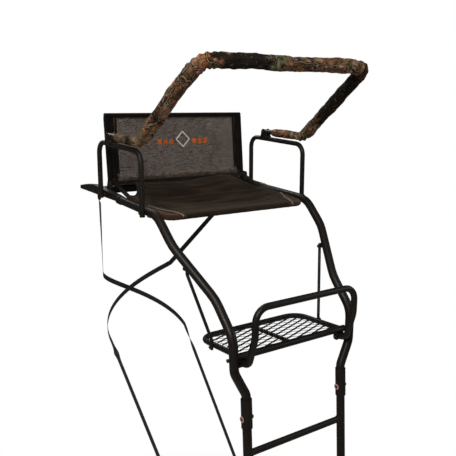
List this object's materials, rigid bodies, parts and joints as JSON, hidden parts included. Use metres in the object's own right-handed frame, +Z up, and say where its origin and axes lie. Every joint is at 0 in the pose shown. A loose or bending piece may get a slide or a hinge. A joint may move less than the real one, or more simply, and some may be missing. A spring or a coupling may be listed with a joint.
{
  "type": "ladder tree stand",
  "caption": "Ladder stand that leans on a tree: sectional ladder, mesh foot platform, flip-up sling seat, mesh backrest, armrests and a padded flip-up shooting rail.",
  "frame": {"origin": "middle of the rear face of the tree bracket's centre web, where it faces the trunk", "axes": "+Z up, +Y from the climber towards the trunk, +X to one side; the stand is symmetric about X = 0"},
  "size_m": [0.8382, 1.6608, 5.1697],
  "materials": {
    "frame_steel": "dark bronze-brown textured powder coat",
    "tread_steel": "black powder coat on expanded metal",
    "hardware": "dark zinc, satin",
    "joint_bolt": "red marked washer and bolt head",
    "foot_rubber": "matte black",
    "knob_plastic": "matte black",
    "camo_pad": "printed woodland camouflage cloth over foam",
    "seat_fabric": "dark brown woven sling cloth",
    "back_mesh": "grey-brown open mesh with dark woven borders",
    "webbing": "black flat webbing"
  },
  "bodies": {
    "stand": {"armrest_bolt_front_left": "hardware", "armrest_bolt_front_right": "hardware", "armrest_bolt_rear_left": "hardware", "armrest_bolt_rear_right": "hardware", "armrest_left": "frame_steel", "armrest_right": "frame_steel", "backrest_bolt_left": "hardware", "backrest_bolt_right": "hardware", "backrest_frame": "frame_steel", "backrest_panel": "back_mesh", "brace_bolt_foot_left": "hardware", "brace_bolt_foot_right": "hardware", "brace_bolt_top_left": "hardware", "brace_bolt_top_right": "hardware", "brace_rod_left": "frame_steel", "brace_rod_right": "frame_steel", "bracket_bolt_left": "hardware", "bracket_bolt_right": "hardware", "foot_cap_left": "foot_rubber", "foot_cap_right": "foot_rubber", "foot_mesh": "tread_steel", "foot_platform": "frame_steel", "foot_rail_bolt_left": "hardware", "foot_rail_bolt_right": "hardware", "joint_bolt_base_left": "joint_bolt", "joint_bolt_base_right": "joint_bolt", "joint_bolt_middle_left": "joint_bolt", "joint_bolt_middle_right": "joint_bolt", "joint_bolt_top_left": "joint_bolt", "joint_bolt_top_right": "joint_bolt", "ladder_section_base": "frame_steel", "ladder_section_middle": "frame_steel", "ladder_section_top": "frame_steel", "platform_bolt_left": "hardware", "platform_bolt_right": "hardware", "rail_pivot_bolt_left": "hardware", "rail_pivot_bolt_right": "hardware", "rail_pivot_bracket_left": "frame_steel", "rail_pivot_bracket_right": "frame_steel", "rear_extension_left": "frame_steel", "rear_extension_right": "frame_steel", "seat_hinge_bolt_left": "hardware", "seat_hinge_bolt_right": "hardware", "side_rail_left": "frame_steel", "side_rail_right": "frame_steel", "stabiliser_strap_left": "webbing", "stabiliser_strap_right": "webbing", "strap_buckle_left": "hardware", "strap_buckle_right": "hardware", "support_clamp": "frame_steel", "support_pivot_bolt": "hardware", "tree_bracket": "frame_steel"},
    "shooting_rail_body": {"shooting_rail": "frame_steel", "shooting_rail_pad": "camo_pad"},
    "seat_body": {"seat_frame": "frame_steel", "seat_sling": "seat_fabric"},
    "foot_rail_body": {"foot_rail": "frame_steel"},
    "support_bar_body": {"support_bar_outer": "frame_steel", "support_thumb_screw": "knob_plastic"},
    "support_inner_body": {"support_bar_inner": "frame_steel"}
  },
  "joints": [
    {"name": "shooting_rail_flip", "type": "hinge", "parent": "stand", "child": "shooting_rail_body", "pos_m": [0, -0.256, 0.246], "axis": [-1, 0, 0], "range_deg": [0, 88]},
    {"name": "seat_flip", "type": "hinge", "parent": "stand", "child": "seat_body", "pos_m": [0, -0.156, 0.041], "axis": [-1, 0, 0], "range_deg": [0, 88]},
    {"name": "foot_rail_fold", "type": "hinge", "parent": "stand", "child": "foot_rail_body", "pos_m": [0, -0.936, -0.521], "axis": [1, 0, 0], "range_deg": [0, 80]},
    {"name": "support_bar_swing", "type": "hinge", "parent": "stand", "child": "support_bar_body", "pos_m": [0, -1.01334, -2.51885], "axis": [1, 0, 0], "range_deg": [-70, 60]},
    {"name": "support_bar_slide", "type": "slide", "parent": "support_bar_body", "child": "support_inner_body", "axis": [0, 1, 0], "range_m": [-0.26, 0.2]}
  ]
}
